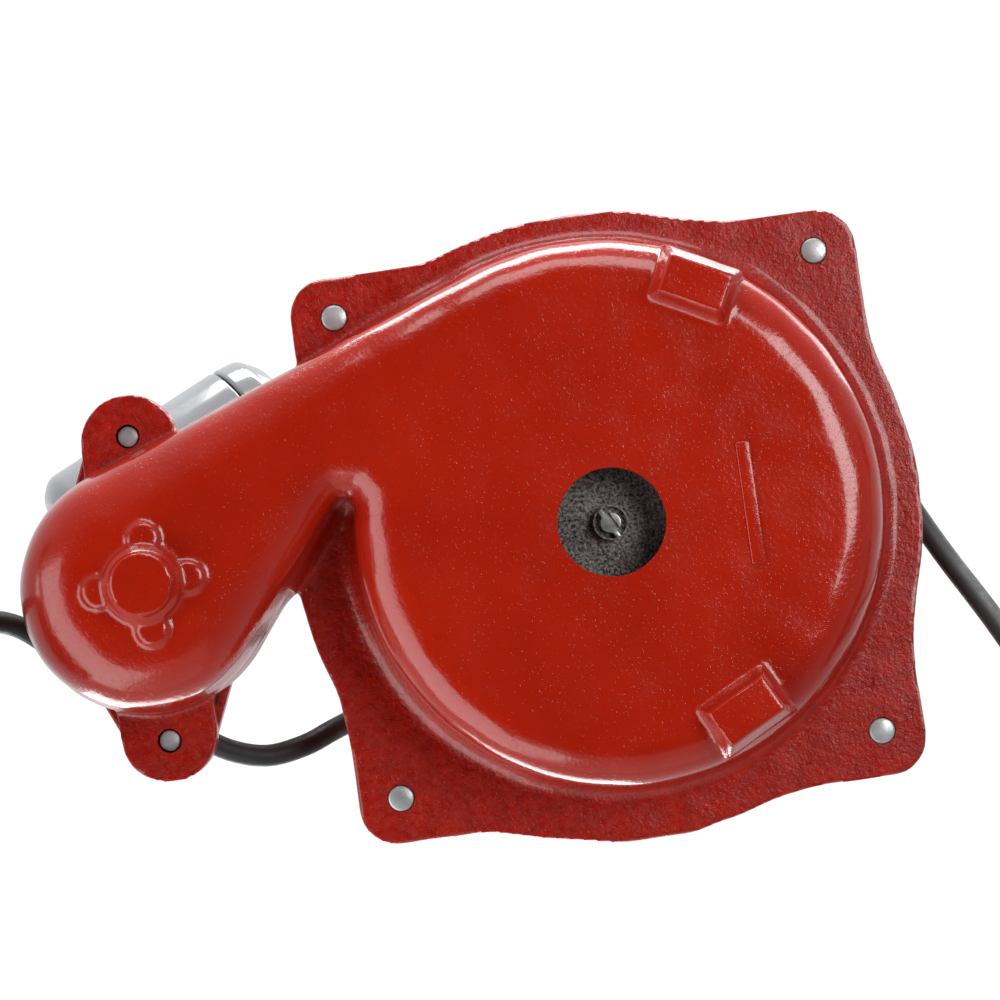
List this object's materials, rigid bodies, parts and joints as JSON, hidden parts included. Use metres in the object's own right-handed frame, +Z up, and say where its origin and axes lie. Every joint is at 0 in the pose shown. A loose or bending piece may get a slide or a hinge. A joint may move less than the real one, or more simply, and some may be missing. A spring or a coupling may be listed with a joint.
{
  "type": "submersible sewage pump",
  "caption": "Painted cast-iron submersible sewage pump with a spiral volute, side discharge, lifting handle, tethered float switch and mains cords wound for storage.",
  "frame": {"origin": "middle of the pump's footprint on the floor, without its cords and float", "axes": "+Z up along the shaft, +X from the shaft towards the discharge, +Y to the float switch's side"},
  "size_m": [0.6367, 0.2911, 0.4141],
  "materials": {
    "red_paint": "gloss paint over rough casting",
    "zinc_steel": "zinc plated, satin",
    "stainless": "brushed",
    "raw_iron": "rough as cast",
    "laminations": "stacked sheet",
    "copper": "varnished wire",
    "black_rubber": "matte",
    "black_plastic": "matte",
    "ceramic": "polished ceramic",
    "capacitor_can": "satin",
    "cord_rubber": "satin jacket",
    "plug_plastic": "moulded",
    "float_plastic": "glossy moulded"
  },
  "bodies": {
    "root": {"volute_casing": "red_paint", "seal_plate": "red_paint", "motor_housing": "red_paint", "motor_cap": "red_paint", "discharge_flange": "red_paint", "flange_bolt_1": "zinc_steel", "flange_bolt_2": "zinc_steel", "flange_bolt_3": "zinc_steel", "flange_bolt_4": "zinc_steel", "cap_screw_1": "zinc_steel", "cap_screw_2": "zinc_steel", "cap_screw_3": "zinc_steel", "cap_screw_4": "zinc_steel", "handle_screw_1": "zinc_steel", "handle_screw_2": "zinc_steel", "discharge_bolt_1": "zinc_steel", "discharge_bolt_2": "zinc_steel", "clamp_screw": "zinc_steel", "oil_plug": "zinc_steel", "lifting_handle": "stainless", "float_bracket": "stainless", "float_clamp": "stainless", "cord_gland": "stainless", "bearing_lower": "stainless", "bearing_upper": "stainless", "upper_bracket": "raw_iron", "stator_core": "laminations", "winding_lower": "copper", "winding_upper": "copper", "volute_gasket": "black_rubber", "cap_gasket": "black_rubber", "discharge_gasket": "black_rubber", "overload_protector": "black_plastic", "seal_seat": "ceramic", "run_capacitor": "capacitor_can", "power_cord": "cord_rubber", "power_cord_coil": "cord_rubber", "power_cord_end": "cord_rubber", "float_cord": "cord_rubber", "float_cord_coil": "cord_rubber", "float_cord_end": "cord_rubber", "strain_relief": "cord_rubber", "power_plug": "plug_plastic", "float_plug": "plug_plastic"},
    "rotor": {"shaft": "stainless", "rotor_core": "laminations", "impeller": "raw_iron", "impeller_screw": "stainless", "seal_head": "black_rubber", "seal_spring": "stainless"},
    "float_arm": {"float_tether": "cord_rubber", "float_body": "float_plastic", "float_cap": "float_plastic", "switch_tube": "black_plastic"},
    "switch_ball": {"float_ball": "stainless"}
  },
  "joints": [
    {"name": "rotor_spin", "type": "hinge", "parent": "root", "child": "rotor", "pos_m": [-0.05075, 0, 0.1], "axis": [0, 0, 1], "continuous": true},
    {"name": "float_swing", "type": "hinge", "parent": "root", "child": "float_arm", "pos_m": [0.01675, 0.0839, 0.1543], "axis": [-0.4429, -0.8966, 0], "range_deg": [0, 60]},
    {"name": "ball_roll", "type": "slide", "parent": "float_arm", "child": "switch_ball", "axis": [-0.8744, 0.4319, 0.2212], "range_m": [0, 0.04]}
  ],
  "couplings": [
    {"joint": "ball_roll", "follows": "float_swing", "m_per_rad": 0.038}
  ]
}
